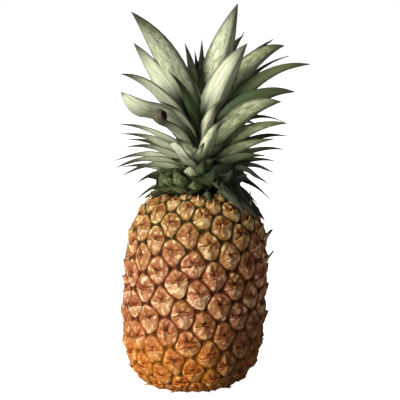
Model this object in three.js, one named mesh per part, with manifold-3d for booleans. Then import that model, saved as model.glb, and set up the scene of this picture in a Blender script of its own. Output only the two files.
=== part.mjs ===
// A whole ripe pineapple that stands on its base: the fruit with its spiral of raised eyes, the leafy crown
// that grows out of its top, and the cut end of the stalk that it grew on. Millimetres, +Z up. The origin is
// the middle of the stalk's cut face, on the surface that the fruit stands on, and -Y is the fruit's front.
import * as THREE from "three";
import { mergeVertices } from "three/addons/utils/BufferGeometryUtils.js";
import Module from "manifold-3d";

const wasm = await Module();
wasm.setup();

// ---- Driving dimensions -----------------------------------------------------------------------------------
const DEG = Math.PI / 180;
const LEAN = 0.04; // the whole axis leans to +X by this much for each unit of height
const GAP = 0.3; // clear space between the fruit and what stands in it

const GIRTH_RADIUS = 56.4; // the fruit at its widest, measured to the floor of the grooves
const GIRTH_Z = 80; // height of the widest place
const LOW_POLE_Z = 1.5; // where the underside's curve would close
const HIGH_POLE_Z = 165; // where the shoulder's curve would close
const UNDERSIDE = { along: 3.4, across: 3.5 }; // powers of the rounded-off curve below the girth
const SHOULDER = { along: 2.9, across: 3.8 }; // and above it
const SKIN_STARTS_RADIUS = 21; // the eyes begin this far from the axis, round the stalk
const SKIN_ENDS_RADIUS = 28; // and end this far from the axis, under the crown

const EYE_TURN = -137.42; // degrees from one eye to the next up the spiral
const EYE_CLIMB = 0.0207; // rise from one eye to the next, as a share of the local radius
const GIRTH_EYE = { turn: -29.5, climb: 0.2 }; // eye 0: degrees from the front, and climbs above the girth
const FRONT_CROWDING = 0.09; // the eyes stand this share closer on the front, and wider at the back
const EYE_BLUNT = 0.12; // 0 makes the eyes diamonds, 1/6 makes them even hexagons
const EYE_RELIEF = 3.3; // how far an eye stands out of its grooves at the girth

const DISH_Z = 6.5; // the underside rises to this height round the stalk
const STALK = { radius: 11.5, height: 14, flare: 1.5 };

const SEAT_Z = 156; // floor of the round seat that the crown stands in
const STEM = { radius: 22, neckRadius: 16, tipRadius: 7, neckHeight: 26, height: 66 };

// ---- Seeded variation -------------------------------------------------------------------------------------
// A fixed number from 0 to 1 for each pair of whole numbers.
function chance(n, k) {
  const x = Math.sin(n * 12.9898 + k * 78.233) * 43758.5453;
  return x - Math.floor(x);
}

const spread = (n, k, amount) => (chance(n, k) * 2 - 1) * amount;

// ---- The fruit's skin -------------------------------------------------------------------------------------
function grooveRadius(z) {
  const low = z < GIRTH_Z;
  const pole = low ? LOW_POLE_Z : HIGH_POLE_Z;
  const curve = low ? UNDERSIDE : SHOULDER;
  const share = Math.abs((z - GIRTH_Z) / (pole - GIRTH_Z));
  return GIRTH_RADIUS * Math.max(0, 1 - share ** curve.along) ** (1 / curve.across);
}

// The profile from pole to pole, each point with its climb: path length divided by radius, summed. A pattern
// that is even in bearing and climb keeps its shape on the skin, and only shrinks where the fruit narrows.
function skinProfile(steps = 400) {
  const points = [];
  for (let k = -steps + 1; k < steps; k++) {
    const pole = k < 0 ? LOW_POLE_Z : HIGH_POLE_Z;
    const z = pole + (GIRTH_Z - pole) * (1 - Math.abs(k) / steps) ** 3;
    points.push({ z, radius: grooveRadius(z), climb: 0 });
  }
  points.forEach((p, i) => {
    if (!i) return;
    const q = points[i - 1];
    p.climb = q.climb + (2 * Math.hypot(p.z - q.z, p.radius - q.radius)) / (p.radius + q.radius);
  });
  return points;
}

const profile = skinProfile();
const girthIndex = profile.findIndex((p) => p.z >= GIRTH_Z);
const firstClimb = profile.find((p) => p.radius >= SKIN_STARTS_RADIUS).climb;
const girthClimb = profile[girthIndex].climb;
const lastClimb = profile.slice(girthIndex).find((p) => p.radius <= SKIN_ENDS_RADIUS).climb;
const LOWEST_EYE = -Math.floor((girthClimb - firstClimb) / EYE_CLIMB);
const HIGHEST_EYE = Math.floor((lastClimb - girthClimb) / EYE_CLIMB);

// The point at a turn from the front and a climb, that far out of the groove floor along the skin's normal.
function onSkin(turn, climb, out) {
  const bearing = turn - FRONT_CROWDING * Math.sin(turn) - Math.PI / 2;
  let i = profile.findIndex((p) => p.climb > climb);
  i = i < 1 ? profile.length - 1 : i;
  const [q, p] = [profile[i - 1], profile[i]];
  const t = (climb - q.climb) / (p.climb - q.climb);
  const normal = new THREE.Vector2(p.z - q.z, q.radius - p.radius).normalize();
  const radius = q.radius + t * (p.radius - q.radius) + out * normal.x;
  const z = q.z + t * (p.z - q.z) + out * normal.y;
  return new THREE.Vector3(radius * Math.cos(bearing) + LEAN * z, radius * Math.sin(bearing), z);
}

// The steps from an eye to its neighbours 8 and 13 places up the spiral, in bearing and climb.
function neighbourStep(places) {
  const turn = (((places * EYE_TURN) % 360) + 540) % 360;
  return new THREE.Vector2((turn - 180) * DEG, places * EYE_CLIMB);
}

const leftRow = neighbourStep(8);
const rightRow = neighbourStep(13);

// The six corners of an eye, where three eyes meet, counted from the upper left and clockwise.
function eyeCorners() {
  const shares = [
    [0.5 + EYE_BLUNT, 0.5 - EYE_BLUNT],
    [0.5 - EYE_BLUNT, 0.5 + EYE_BLUNT],
    [EYE_BLUNT - 0.5, 0.5 - EYE_BLUNT],
  ];
  const half = shares.map(([l, r]) => leftRow.clone().multiplyScalar(l).addScaledVector(rightRow, r));
  return [...half, ...half.map((c) => c.clone().negate())];
}

// One eye: rings of six points from the groove up to the flat of the eye, and the tip of its bract.
function addEye(triangles, n, corners, swell) {
  const turn = (GIRTH_EYE.turn + n * EYE_TURN) * DEG;
  const centre = new THREE.Vector2(turn, girthClimb + (n + GIRTH_EYE.climb) * EYE_CLIMB);
  const size = grooveRadius(onSkin(centre.x, centre.y, 0).z) / GIRTH_RADIUS;
  const relief = EYE_RELIEF * size * (1 + spread(n, 1, 0.12));
  const ring = (share, out, up = 0) =>
    corners.map((c) =>
      onSkin(centre.x + c.x * share, centre.y + c.y * share + up * leftRow.y, out + swell),
    );
  const rings = [ring(1, 0), ring(0.8, relief * 0.8), ring(0.34, relief, 0.1)];
  for (let r = 0; r < 2; r++) {
    corners.forEach((_, i) => {
      const j = (i + 1) % corners.length;
      triangles.push([rings[r][i], rings[r + 1][i], rings[r][j]]);
      triangles.push([rings[r][j], rings[r + 1][i], rings[r + 1][j]]);
    });
  }
  const tip = bractTip(n, centre, relief + swell * 3, size);
  corners.forEach((_, i) => triangles.push([rings[2][i], tip, rings[2][(i + 1) % corners.length]]));
}

// Bract tips are short on most eyes, leafy and upright under the crown, and long and dry on the lowest eyes.
const LEAFY_EYES = 26;
const RESTING_EYES = 12;
const WISPY_EYES = 34;

function bractTip(n, centre, relief, size) {
  if (n > HIGHEST_EYE - LEAFY_EYES) {
    return onSkin(centre.x, centre.y + leftRow.y * 0.5, relief + (2.8 + spread(n, 2, 1)) * size);
  }
  if (n < LOWEST_EYE + RESTING_EYES) {
    return onSkin(centre.x, centre.y + leftRow.y * 0.3, relief + 0.4 * size);
  }
  if (n < LOWEST_EYE + WISPY_EYES) {
    const tip = onSkin(centre.x, centre.y, relief + (0.6 + 4 * chance(n, 3) ** 3) * size);
    tip.z = Math.max(tip.z, 1.2);
    return tip;
  }
  return onSkin(centre.x, centre.y + leftRow.y * 0.45, relief + (0.2 + 1.3 * chance(n, 2) ** 5) * size);
}

// Closes each open edge loop of the skin with a fan to a point on the axis.
function closeEnds(geometry) {
  const index = [...geometry.index.array];
  const position = [...geometry.attributes.position.array];
  const used = new Set();
  for (let i = 0; i < index.length; i += 3) {
    for (let k = 0; k < 3; k++) used.add(index[i + k] + "_" + index[i + ((k + 1) % 3)]);
  }
  const foot = position.length / 3;
  position.push(LEAN * DISH_Z, 0, DISH_Z, LEAN * (SEAT_Z + 5), 0, SEAT_Z + 5);
  for (const edge of used) {
    const [a, b] = edge.split("_").map(Number);
    if (used.has(b + "_" + a)) continue;
    index.push(b, a, position[a * 3 + 2] < GIRTH_Z ? foot : foot + 1);
  }
  return new THREE.BufferGeometry()
    .setAttribute("position", new THREE.Float32BufferAttribute(position, 3))
    .setIndex(index);
}

// The whole skin, or the skin swollen a little for the crown to stay out of.
function skinGeometry(swell = 0) {
  const triangles = [];
  const corners = eyeCorners();
  for (let n = LOWEST_EYE; n <= HIGHEST_EYE; n++) addEye(triangles, n, corners, swell);
  const soup = new THREE.BufferGeometry().setFromPoints(triangles.flat());
  return closeEnds(mergeVertices(soup, 1e-3));
}

// ---- Solids -----------------------------------------------------------------------------------------------
function solidOf(geometry) {
  const bare = geometry.clone();
  bare.deleteAttribute("normal");
  bare.deleteAttribute("uv");
  const merged = mergeVertices(bare, 1e-4);
  return new wasm.Manifold(
    new wasm.Mesh({
      numProp: 3,
      vertProperties: new Float32Array(merged.attributes.position.array),
      triVerts: new Uint32Array(merged.index.array),
    }),
  );
}

// The largest closed body of a solid, without the scraps and sealed hollows that joining can leave.
function mainBody(solid) {
  const bodies = solid.decompose();
  return bodies.reduce((best, body) => (body.volume() > best.volume() ? body : best));
}

function geometryOf(solid) {
  const made = solid.getMesh();
  return new THREE.BufferGeometry()
    .setAttribute("position", new THREE.Float32BufferAttribute(made.vertProperties, 3))
    .setIndex(new THREE.BufferAttribute(new Uint32Array(made.triVerts), 1));
}

// Scraps that hang on by a single point come loose when close points are merged, so that is done in between.
function meshOf(name, solid, colour, roughness) {
  const whole = geometryOf(mainBody(solid));
  const geometry = geometryOf(mainBody(solidOf(whole)));
  geometry.computeVertexNormals();
  const mesh = new THREE.Mesh(geometry, new THREE.MeshStandardMaterial({ color: colour, roughness }));
  mesh.name = name;
  return mesh;
}

// A turned piece from [radius, z] pairs, with its centre line on the leaning axis.
function turned(outline, sides = 24) {
  const geometry = new THREE.LatheGeometry(
    outline.map(([radius, z]) => new THREE.Vector2(radius, z)),
    sides,
  );
  geometry.rotateX(Math.PI / 2);
  const lean = new THREE.Matrix4().makeShear(0, 0, 0, 0, LEAN, 0);
  return geometry.applyMatrix4(lean);
}

// ---- The fruit --------------------------------------------------------------------------------------------
function fruitSolid() {
  const below = new THREE.BoxGeometry(200, 200, 40).translate(0, 0, -20);
  const stalkHole = turned([
    [0, -1],
    [STALK.radius + GAP, -1],
    [STALK.radius + GAP, STALK.height + GAP],
    [0, STALK.height + GAP],
  ]);
  const crownSeat = turned([
    [0, SEAT_Z],
    [STEM.radius + GAP, SEAT_Z],
    [STEM.radius + GAP, SEAT_Z + 20],
    [0, SEAT_Z + 20],
  ]);
  return solidOf(skinGeometry())
    .subtract(solidOf(below))
    .subtract(solidOf(stalkHole))
    .subtract(solidOf(crownSeat));
}

// ---- The stalk --------------------------------------------------------------------------------------------
function stalkSolid() {
  const { radius, height, flare } = STALK;
  return solidOf(
    turned(
      [
        [0, 0],
        [radius - flare, 0],
        [radius, flare],
        [radius, height],
        [0, height],
      ],
      20,
    ),
  );
}

// ---- The crown --------------------------------------------------------------------------------------------
// A leaf runs in one arch from the stem to its tip. Each is [tip x, tip y, tip z, height of its root above
// the seat, angle at which it leaves the stem, width, the way that its underside faces in degrees from the
// front, where it is straightest before it bows, as a share of its reach], and some also give how far the tip
// curls up, in degrees, and how far the margins stand above the midrib, as a share of the width.
const FRONT_LEAVES = [
  [-47, -30, 309, 44, 70, 24, -18, 0.62, 0, 0.4],
  [-46, -6, 284, 40, 60, 24, -42, 0.68, 0, 0.25],
  [-55, -36, 260, 36, 62, 20, -46, 0.72, 0, 0.2],
  [-58, -46, 225, 32, 62, 22, -36, 0.74, 70, 0.15],
  [-17, -42, 262, 34, 80, 12, 30, 0.6, 0, 0.3],
  [-23, -48, 238, 30, 72, 13, -40, 0.66, 0, 0.2],
  [-49, -66, 222, 25, 70, 10, -34, 0.55, 340, 0.3],
  [-57, -14, 219, 24, 54, 13, -60, 0.62, 0, 0.35],
  [-56, -26, 212, 21, 50, 12, -50, 0.62, 0, 0.35],
  [-51, -6, 206, 18, 54, 11, -80, 0.66],
  [-51, -34, 202, 17, 50, 12, -45, 0.62, 0, 0.35],
  [-62, -8, 189, 14, 50, 12, -70, 0.64, 0, 0.4],
  [-61, -24, 184, 13, 48, 12, -55, 0.64, 0, 0.35],
  [-55, -20, 185, 12, 34, 8, -60, 0.6],
  [-55, -36, 179, 12, 44, 11, -45, 0.62, 0, 0.35],
  [-43, -44, 174, 10, 40, 10, -35, 0.6],
  [-43, -20, 159, 10, 34, 11, -70, 0.6],
  [-32, -40, 160, 8, 46, 19, -42, 0.62],
  [-14, -58, 198, 17, 46, 22, -38, 0.64, 45, 0.1],
  [-2, -58, 176, 10, 44, 13, -12, 0.6, 60, 0.1],
  [-24, -36, 183, 6, 8, 18, -30, 0.85, 0, 0.3],
  [-12, -42, 187, 6, 8, 17, -15, 0.85, 0, 0.3],
  [3, -44, 177, 5, 8, 15, 0, 0.85, 0, 0.35],
  [-16, -46, 174, 5, 6, 14, -25, 0.85, 0, 0.3],
  [-28, -42, 172, 5, 6, 14, -35, 0.85, 0, 0.3],
  [-4, -48, 169, 5, 6, 13, -10, 0.85, 0, 0.3],
  [10, -40, 193, 8, 20, 18, 5, 0.8, 0, 0.4],
  [19, -42, 186, 6, 10, 20, 12, 0.85, 0, 0.4],
  [33, -36, 184, 6, 10, 20, 30, 0.85, 0, 0.4],
  [45, -24, 180, 6, 10, 18, 50, 0.85, 0, 0.4],
  [-36, -24, 177, 6, 24, 18, -55, 0.85, 0, 0.35],
  [28, -48, 242, 30, 76, 11, -12, 0.62],
  [28, -66, 225, 16, 62, 12, -15, 0.62],
  [-5, 10, 284, 50, 84, 14, -5, 0.6],
  [3, 14, 278, 52, 86, 11, 0, 0.6],
  [9, 16, 287, 54, 87, 12, 6, 0.6],
  [38, 0, 316, 46, 76, 25, 14, 0.62],
  [44, 30, 293, 48, 72, 8, 130, 0.55],
  [45, -28, 284, 38, 72, 23, 12, 0.62],
  [68, 26, 287, 44, 68, 15, 40, 0.65],
  [76, 2, 282, 40, 66, 22, 28, 0.78, 0, 0.4],
  [81, 32, 273, 38, 66, 9, 100, 0.7],
  [97, -2, 267, 38, 60, 17, 36, 0.72],
  [73, 30, 246, 34, 50, 13, 80, 0.8],
  [84, -14, 245, 27, 62, 22, 50, 0.7],
  [72, -34, 238, 24, 57, 22, 24, 0.7, 0, 0.4],
  [75, -20, 221, 24, 66, 9, 70, 0.82],
  [78, -16, 220, 20, 52, 17, 40, 0.64],
  [79, 10, 208, 18, 50, 12, 85, 0.66],
  [67, -26, 208, 16, 46, 15, 50, 0.6],
  [76, -6, 198, 14, 46, 12, 72, 0.64],
  [59, -32, 195, 13, 42, 14, 50, 0.62],
  [68, -10, 189, 12, 42, 12, 72, 0.64],
  [68, -14, 179, 12, 44, 10, 68, 0.66],
  [63, -24, 171, 11, 50, 11, 60, 0.66],
  [64, -14, 158, 10, 52, 11, 70, 0.66],
  [60, -17, 141, 10, 58, 27, 62, 0.6],
  [54, -34, 143, 9, 54, 21, 48, 0.6, 0, 0.4],
  [44, -46, 147, 9, 52, 19, 38, 0.6, 0, 0.4],
  [27, -56, 163, 8, 45, 10, 25, 0.6],
  [38, -52, 154, 8, 46, 9, 32, 0.62],
];

// The leaves behind: a spiral that is lowest, flattest and shortest at the seat.
const BACK_LEAVES = 22;
// Leaves that lie over the fruit's shoulder, short broad ones round the stem, and upright ones at the heart.
const SKIRT_LEAVES = 21;
const SHORT_LEAVES = 18;
const HEART_LEAVES = 6;

const axisPoint = (z) => new THREE.Vector3(LEAN * z, 0, z);

function spiralLeaf({ bearing, root, reach, rise, angle, width }) {
  const centre = axisPoint(SEAT_Z + root);
  return [
    centre.x + reach * Math.cos(bearing * DEG),
    reach * Math.sin(bearing * DEG),
    centre.z + rise,
    root,
    angle,
    width,
  ];
}

function backLeaf(n) {
  const level = (n + 0.5) / BACK_LEAVES;
  return spiralLeaf({
    bearing: 38 + ((n * 0.382) % 1) * 84 + spread(n, 11, 6),
    root: 5 + 46 * level,
    reach: 66 + spread(n, 12, 8) + 12 * Math.sin(level * Math.PI) - 28 * level ** 3,
    rise: -14 + 98 * level + spread(n, 13, 8),
    angle: 30 + 48 * level,
    width: 9 + 11 * level + spread(n, 14, 1.5),
  });
}

function skirtLeaf(n) {
  return spiralLeaf({
    bearing: n * 137.5 + spread(n, 21, 12),
    root: 7 + 3 * chance(n, 22),
    reach: 42 + spread(n, 23, 5),
    rise: -9 + spread(n, 24, 4),
    angle: 28 + spread(n, 25, 5),
    width: 15 + spread(n, 26, 2),
  });
}

function shortLeaf(n) {
  const level = (n + 0.5) / SHORT_LEAVES;
  return spiralLeaf({
    bearing: 60 + n * 137.5 + spread(n, 41, 8),
    root: 7 + 12 * level,
    reach: 29 - 3 * level + spread(n, 43, 3),
    rise: 15 + 20 * level + spread(n, 44, 5),
    angle: 60 + 12 * level + spread(n, 45, 6),
    width: 15 + spread(n, 46, 2),
  });
}

function heartLeaf(n) {
  return spiralLeaf({
    bearing: 40 + n * 137.5,
    root: 50 + n,
    reach: 10 + 12 * chance(n, 31),
    rise: 38 + 26 * chance(n, 32),
    angle: 82,
    width: 9 + 3 * chance(n, 33),
  });
}

function allLeaves() {
  const made = (count, rule) => Array.from({ length: count }, (_, n) => rule(n));
  return [
    ...FRONT_LEAVES,
    ...made(BACK_LEAVES, backLeaf),
    ...made(SKIRT_LEAVES, skirtLeaf),
    ...made(SHORT_LEAVES, shortLeaf),
    ...made(HEART_LEAVES, heartLeaf),
  ];
}

const ARCH = 0.6; // where a leaf of the spirals is straightest
const CHANNEL = 0.3; // how far most blades' margins stand above the midrib
const FACING = 2.6; // how much the blade turns its underside outward rather than down
const CURL_FROM = 0.66; // a curled tip winds up beyond this share of the blade
const LEAF_THICK = { root: 2.2, tip: 0.9 };
const BROAD = 17.5; // leaves this wide have more stations along them
const SHORT = 55; // and leaves that reach no further than this have fewer
const STATIONS = {
  broad: [0, 0.25, 0.5, 0.72, 0.89],
  narrow: [0, 0.32, 0.62, 0.86],
  short: [0, 0.5],
  curled: [0, 0.3, 0.56, 0.7, 0.79, 0.88, 0.95],
};

// The blade's width along its length, as a share of its widest place. Narrow blades end in a long point, and
// a curled one has lost its point and ends bluntly.
function bladeShape(t, width, curl) {
  if (t < 0.35) return 0.7 + 0.86 * t;
  const left = (t - 0.35) / 0.65;
  if (curl) return 1 - left ** 5;
  const broad = Math.min(Math.max((width - 12) / 10, 0), 1);
  return broad * (1 - left ** 1.9) + (1 - broad) * (1 - left) ** 1.15;
}

// The curve of a leaf's midrib, and the way that its underside faces.
function leafArch([x, y, z, root, angle, , facing, arch = ARCH]) {
  const tip = new THREE.Vector3(x, y, z);
  const start = axisPoint(SEAT_Z + root);
  const heading = tip.clone().sub(start).setZ(0).normalize();
  const outward =
    facing === undefined
      ? heading
      : new THREE.Vector3(Math.sin(facing * DEG), -Math.cos(facing * DEG), 0);
  start.addScaledVector(outward, stemRadius(root) * 0.35);
  const reach = tip.distanceTo(start) * arch;
  const knee = start
    .clone()
    .addScaledVector(heading, Math.cos(angle * DEG) * reach)
    .add(new THREE.Vector3(0, 0, Math.sin(angle * DEG) * reach));
  const underside = outward.clone().multiplyScalar(FACING).add(new THREE.Vector3(0, 0, -1));
  return { midrib: new THREE.QuadraticBezierCurve3(start, knee, tip), underside };
}

// The middle of a blade at a share of its length, and the ways that it opens and faces up there. A curled
// tip winds up on a circle.
function onMidrib({ midrib, underside }, curl, share) {
  const t = curl ? Math.min(share, CURL_FROM) : share;
  const middle = midrib.getPoint(t);
  const along = midrib.getTangent(t);
  const side = along.clone().cross(underside).normalize();
  const face = along.clone().cross(side);
  if (share > t) {
    const turn = (curl * DEG * (share - CURL_FROM)) / (1 - CURL_FROM);
    const radius = midrib.v2.distanceTo(middle) / (curl * DEG);
    middle.addScaledVector(along, Math.sin(turn) * radius);
    middle.addScaledVector(face, (1 - Math.cos(turn)) * radius);
    face.multiplyScalar(Math.cos(turn)).addScaledVector(along, -Math.sin(turn));
  }
  return { middle, side, face };
}

function stationsOf({ midrib }, width, curl) {
  if (curl > 90) return STATIONS.curled;
  if (midrib.v0.distanceTo(midrib.v2) < SHORT) return STATIONS.short;
  return width < BROAD ? STATIONS.narrow : STATIONS.broad;
}

// One blade as a closed body: four points a station, two edges and the top and underside of the midrib.
function leafGeometry(leaf) {
  const [width, curl, channel] = [leaf[5], leaf[8] ?? 0, leaf[9] ?? CHANNEL];
  const arch = leafArch(leaf);
  const stations = stationsOf(arch, width, curl);
  const points = [];
  for (const t of stations) {
    const { middle, side, face } = onMidrib(arch, curl, t);
    const half = (width * bladeShape(t, width, curl)) / 2;
    const thick = LEAF_THICK.root + (LEAF_THICK.tip - LEAF_THICK.root) * t;
    const edge = middle.clone().addScaledVector(face, half * 2 * channel);
    points.push(edge.clone().addScaledVector(side, -half));
    points.push(middle.clone().addScaledVector(face, -thick / 2));
    points.push(edge.clone().addScaledVector(side, half));
    points.push(middle.clone().addScaledVector(face, thick / 2));
  }
  points.push(onMidrib(arch, curl, 1).middle);
  return new THREE.BufferGeometry().setFromPoints(points).setIndex(bladeFaces(stations.length));
}

function bladeFaces(stations) {
  const faces = [0, 2, 1, 0, 3, 2];
  const last = stations - 1;
  for (let s = 0; s < last; s++) {
    for (const [edge, rib] of [
      [0, 1],
      [2, 1],
      [2, 3],
      [0, 3],
    ]) {
      const [a, b, c, d] = [s * 4 + edge, s * 4 + rib, s * 4 + 4 + edge, s * 4 + 4 + rib];
      const outward = (edge === 0) === (rib === 1);
      faces.push(...(outward ? [a, b, c, c, b, d] : [a, c, b, c, d, b]));
    }
  }
  const end = last * 4;
  const tip = end + 4;
  for (let k = 0; k < 4; k++) faces.push(end + k, end + ((k + 1) % 4), tip);
  return faces;
}

function stemRadius(height) {
  const { radius, neckRadius, tipRadius, neckHeight } = STEM;
  if (height < neckHeight) return radius + ((neckRadius - radius) * height) / neckHeight;
  return neckRadius + ((tipRadius - neckRadius) * (height - neckHeight)) / (STEM.height - neckHeight);
}

function crownSolid() {
  let crown = solidOf(
    turned(
      [
        [0, SEAT_Z + GAP],
        [STEM.radius, SEAT_Z + GAP],
        [STEM.neckRadius, SEAT_Z + STEM.neckHeight],
        [STEM.tipRadius, SEAT_Z + STEM.height],
        [0, SEAT_Z + STEM.height],
      ],
      14,
    ),
  );
  for (const leaf of allLeaves()) crown = crown.add(solidOf(leafGeometry(leaf)));
  const seat = turned([
    [0, SEAT_Z + GAP],
    [STEM.radius, SEAT_Z + GAP],
    [STEM.radius, SEAT_Z + 20],
    [0, SEAT_Z + 20],
  ]);
  const skin = solidOf(skinGeometry(GAP * 2)).subtract(solidOf(seat));
  return crown.subtract(skin);
}

// ---- The whole --------------------------------------------------------------------------------------------
const pineapple = new THREE.Group();
pineapple.add(meshOf("fruit", fruitSolid(), 0xb57c46, 0.6));
pineapple.add(meshOf("crown", crownSolid(), 0x7f8a63, 0.55));
pineapple.add(meshOf("stalk", stalkSolid(), 0xa08a5c, 0.85));

export default pineapple;
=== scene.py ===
# %% [markdown]
# # A ripe pineapple
#
# A pineapple is nearly two hundred small fruits grown together round one stem. Each leaves an eye on the
# skin, with a dry scale across its lower half, and above them the stem carries on as a crown of stiff leaves.
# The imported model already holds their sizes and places, so this lesson lays finer surfaces over its solids.

import math
from collections import namedtuple

import bmesh
import bpy
import numpy as np
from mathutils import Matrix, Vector, noise


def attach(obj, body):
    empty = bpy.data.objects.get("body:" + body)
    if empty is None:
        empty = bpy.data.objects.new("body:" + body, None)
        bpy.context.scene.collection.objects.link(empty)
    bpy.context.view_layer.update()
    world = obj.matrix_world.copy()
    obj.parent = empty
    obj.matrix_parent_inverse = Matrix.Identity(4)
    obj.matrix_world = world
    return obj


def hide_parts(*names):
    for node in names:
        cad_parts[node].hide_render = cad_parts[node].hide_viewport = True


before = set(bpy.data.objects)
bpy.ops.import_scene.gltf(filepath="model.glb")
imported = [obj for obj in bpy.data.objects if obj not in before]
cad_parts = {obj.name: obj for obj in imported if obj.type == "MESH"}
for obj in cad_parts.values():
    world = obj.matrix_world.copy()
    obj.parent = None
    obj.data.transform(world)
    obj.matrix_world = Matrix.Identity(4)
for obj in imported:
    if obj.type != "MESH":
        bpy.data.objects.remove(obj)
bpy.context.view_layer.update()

# %% [markdown]
# ## The driving dimensions
#
# Blender works in metres, but fruit is easier to think of in millimetres, so every size is in millimetres
# and is multiplied by MM when it reaches a mesh. The curve and the spiral are the solids' own, so that each
# fine eye lands on its plain one.

# %% Driving dimensions
MM = 0.001
LEAN = 0.04  # the whole axis leans to +X by this much for each unit of height

GIRTH_RADIUS = 56.4  # the fruit at its widest, measured to the floor of the grooves
GIRTH_Z = 80
LOW_POLE_Z = 1.5
HIGH_POLE_Z = 165
UNDERSIDE = (3.4, 3.5)  # powers of the rounded-off curve below the girth, along and across
SHOULDER = (2.9, 3.8)
SKIN_STARTS_RADIUS = 21
SKIN_ENDS_RADIUS = 28

EYE_TURN = -137.42  # degrees from one eye to the next up the spiral
EYE_CLIMB = 0.0207  # rise from one eye to the next, as a share of the local radius
FIRST_TURN = -29.5
FIRST_CLIMB = 0.2
FRONT_CROWDING = 0.09  # how much closer together the eyes stand at the front
EYE_BLUNT = 0.12  # how far the diamond of an eye is cut off at its top and bottom
EYE_RELIEF = 3.3

DISH_Z = 6.5  # the underside rises to this height round the stalk
STALK_RADIUS = 11.5
STALK_HEIGHT = 14
SEAT_Z = 156  # floor of the round seat that the crown stands in
STEM_RADIUS = 22
STEM_NECK = (16, 26)  # radius, and height above the seat
STEM_TIP = (7, 66)
GAP = 0.3  # between pieces that touch


def chance(number, draw):
    """A fixed value from 0 to 1 for each pair of whole numbers. Works on arrays too."""
    x = np.sin(number * 12.9898 + draw * 78.233) * 43758.5453
    return x - np.floor(x)


def spread(number, draw, amount):
    """The same, from that much below 0 to that much above it."""
    return (chance(number, draw) * 2 - 1) * amount


def beside_axis(x, y, z):
    """A point that is given from the leaning axis, in metres from the origin."""
    return Vector((x + LEAN * z, y, z)) * MM


print("a few fixed draws:", [round(float(chance(n, 1)), 3) for n in range(4)])

# %% [markdown]
# ## The curve of the fruit
#
# Seen from the side the fruit is a barrel with rounded ends, one power curve below its widest place and one
# above. A spiral of eyes could be wrapped on it by angle and height, but then the eyes would stretch on the
# shoulder. Here height is swapped for "climb": the path up the skin divided by the radius, summed. Equal
# steps of angle and climb keep their shape everywhere, and only shrink as the fruit narrows.

# %% The skin as a place to stand on
def groove_radius(z):
    low = z < GIRTH_Z
    pole = np.where(low, LOW_POLE_Z, HIGH_POLE_Z)
    along = np.where(low, UNDERSIDE[0], SHOULDER[0])
    across = np.where(low, UNDERSIDE[1], SHOULDER[1])
    share = np.abs((z - GIRTH_Z) / (pole - GIRTH_Z))
    return GIRTH_RADIUS * np.clip(1 - share**along, 0, None) ** (1 / across)


PROFILE_STEPS = 400
steps = np.arange(1 - PROFILE_STEPS, PROFILE_STEPS)
step_pole = np.where(steps < 0, LOW_POLE_Z, HIGH_POLE_Z)
profile_z = step_pole + (GIRTH_Z - step_pole) * (1 - np.abs(steps) / PROFILE_STEPS) ** 3
profile_radius = groove_radius(profile_z)
path = np.hypot(np.diff(profile_z), np.diff(profile_radius))
profile_climb = np.append(0, np.cumsum(path / (profile_radius[1:] + profile_radius[:-1]) * 2))
rise_of_z = np.gradient(profile_z, profile_climb)
rise_of_radius = np.gradient(profile_radius, profile_climb)


def on_skin(turn, climb, out):
    """The point at a turn from the front and a climb, that far out of the groove floor, in millimetres."""
    bearing = turn - FRONT_CROWDING * np.sin(turn) - math.pi / 2
    up = np.interp(climb, profile_climb, rise_of_z)
    outward = np.interp(climb, profile_climb, rise_of_radius)
    length = np.hypot(up, outward)
    radius = np.interp(climb, profile_climb, profile_radius) + out * up / length
    z = np.interp(climb, profile_climb, profile_z) - out * outward / length
    return np.stack([radius * np.cos(bearing) + LEAN * z, radius * np.sin(bearing), z], axis=-1)


print("the fruit's path up the skin:", round(float(path.sum())), "mm")

# %% How many eyes there are
girth = int(np.argmax(profile_z >= GIRTH_Z))
girth_climb = profile_climb[girth]
first_climb = profile_climb[np.argmax(profile_radius >= SKIN_STARTS_RADIUS)]
last_climb = profile_climb[girth + np.argmax(profile_radius[girth:] <= SKIN_ENDS_RADIUS)]
LOWEST_EYE = -int((girth_climb - first_climb) / EYE_CLIMB)
HIGHEST_EYE = int((last_climb - girth_climb) / EYE_CLIMB)
eye_numbers = range(LOWEST_EYE, HIGHEST_EYE + 1)
print(len(eye_numbers), "eyes, numbered", LOWEST_EYE, "to", HIGHEST_EYE)

# %% [markdown]
# ## One eye, and its place in the spiral
#
# The eyes stand in two crossing sets of rows, 8 one way and 13 the other. Half a step along each row leads to
# the middle of a shared edge, so the six corners where three eyes meet follow from the two row steps alone.
# Sizes inside an eye are in millimetres as they are at the girth.

# %% The outline of an eye
def row_step(places):
    turn = (places * EYE_TURN + 180) % 360 - 180
    return np.array([math.radians(turn), places * EYE_CLIMB]) * GIRTH_RADIUS


left_row, right_row = row_step(8), row_step(13)
near, far = 0.5 - EYE_BLUNT, 0.5 + EYE_BLUNT
half_outline = [
    near * right_row - near * left_row,
    far * right_row + near * left_row,
    near * right_row + far * left_row,
]
eye_corners = half_outline + [-corner for corner in half_outline]
print("corners of an eye in mm:", [tuple(c.round(1).tolist()) for c in eye_corners])


def eye_centre(number):
    turn = np.radians(FIRST_TURN + number * EYE_TURN)
    return turn, girth_climb + (number + FIRST_CLIMB) * EYE_CLIMB


def eye_size(number):
    """How large an eye is beside one at the girth."""
    return np.interp(eye_centre(number)[1], profile_climb, profile_radius) / GIRTH_RADIUS


# %% [markdown]
# ## The relief of an eye
#
# An eye could be sculpted by hand once and copied, but then all of them would be twins. A formula of the
# place inside the eye takes each eye's own draws: steep walls out of the groove, a low dome, creases between
# the three sepals of the upper half, and a pit where the flower was. The same formula says how deep each
# point lies in a groove or crease, which later tints the skin brown and paints shade into it.

# %% Where a point lies in an eye
CORNER_ROUNDING = 1.1  # how softly two grooves meet
CORNER_SHADE = 3.2
SCALE_EDGE = {"up": -1.4, "tilt": 0.14, "bow": 0.08}


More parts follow.
